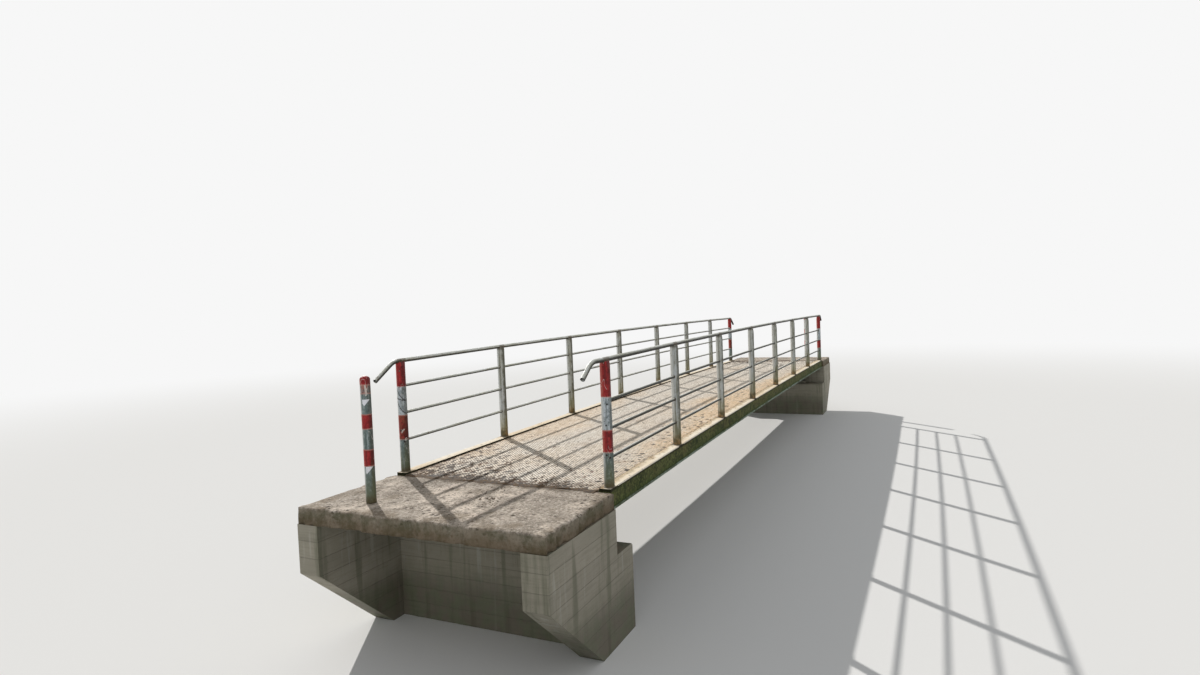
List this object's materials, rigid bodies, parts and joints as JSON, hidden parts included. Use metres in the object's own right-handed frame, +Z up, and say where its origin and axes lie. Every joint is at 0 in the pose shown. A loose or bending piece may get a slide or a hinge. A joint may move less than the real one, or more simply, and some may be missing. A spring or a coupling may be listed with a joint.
{
  "type": "footbridge",
  "caption": "Low footbridge over a narrow stream with a slab deck, tube railings on both sides, banded end posts, marker bollards and concrete abutments.",
  "frame": {"origin": "centre of the bounding box's underside, level with the abutment feet", "axes": "+X along the bridge from the near end to the far end, +Y across it to the left, +Z up"},
  "size_m": [15.134, 2.4, 2.4672],
  "materials": {
    "deck": "rough anti-slip concrete with a fine diamond pattern",
    "edge_beam": "concrete, moss-stained on its side",
    "substructure_steel": "matt grey paint",
    "bearing_rubber": "matt",
    "abutment_concrete": "cast concrete, weathered",
    "approach_concrete": "worn concrete, sandy",
    "railing_steel": "weathered light grey, green at the foot",
    "marker_paint": "red and white bands, faded and scratched",
    "bollard_cap": "weathered grey"
  },
  "bodies": {
    "root": {"deck_slab": "deck", "edge_beam_left": "edge_beam", "edge_beam_right": "edge_beam", "girder_left": "substructure_steel", "girder_right": "substructure_steel", "cross_beams": "substructure_steel", "bearings": "bearing_rubber", "abutment_near": "abutment_concrete", "abutment_far": "abutment_concrete", "wing_wall_near_left": "abutment_concrete", "wing_wall_near_right": "abutment_concrete", "wing_wall_far_left": "abutment_concrete", "wing_wall_far_right": "abutment_concrete", "approach_slab_near": "approach_concrete", "approach_slab_far": "approach_concrete", "handrail_left": "railing_steel", "handrail_right": "railing_steel", "handrail_ends_left": "railing_steel", "handrail_ends_right": "railing_steel", "rail_left_upper": "railing_steel", "rail_left_middle": "railing_steel", "rail_left_lower": "railing_steel", "rail_right_upper": "railing_steel", "rail_right_middle": "railing_steel", "rail_right_lower": "railing_steel", "post_left_1": "marker_paint", "post_left_2": "railing_steel", "post_left_3": "railing_steel", "post_left_4": "railing_steel", "post_left_5": "railing_steel", "post_left_6": "railing_steel", "post_left_7": "railing_steel", "post_left_8": "marker_paint", "post_right_1": "marker_paint", "post_right_2": "railing_steel", "post_right_3": "railing_steel", "post_right_4": "railing_steel", "post_right_5": "railing_steel", "post_right_6": "railing_steel", "post_right_7": "railing_steel", "post_right_8": "marker_paint", "bollard_near": "marker_paint", "bollard_far": "marker_paint", "bollard_cap_near": "bollard_cap", "bollard_cap_far": "bollard_cap"}
  },
  "joints": []
}
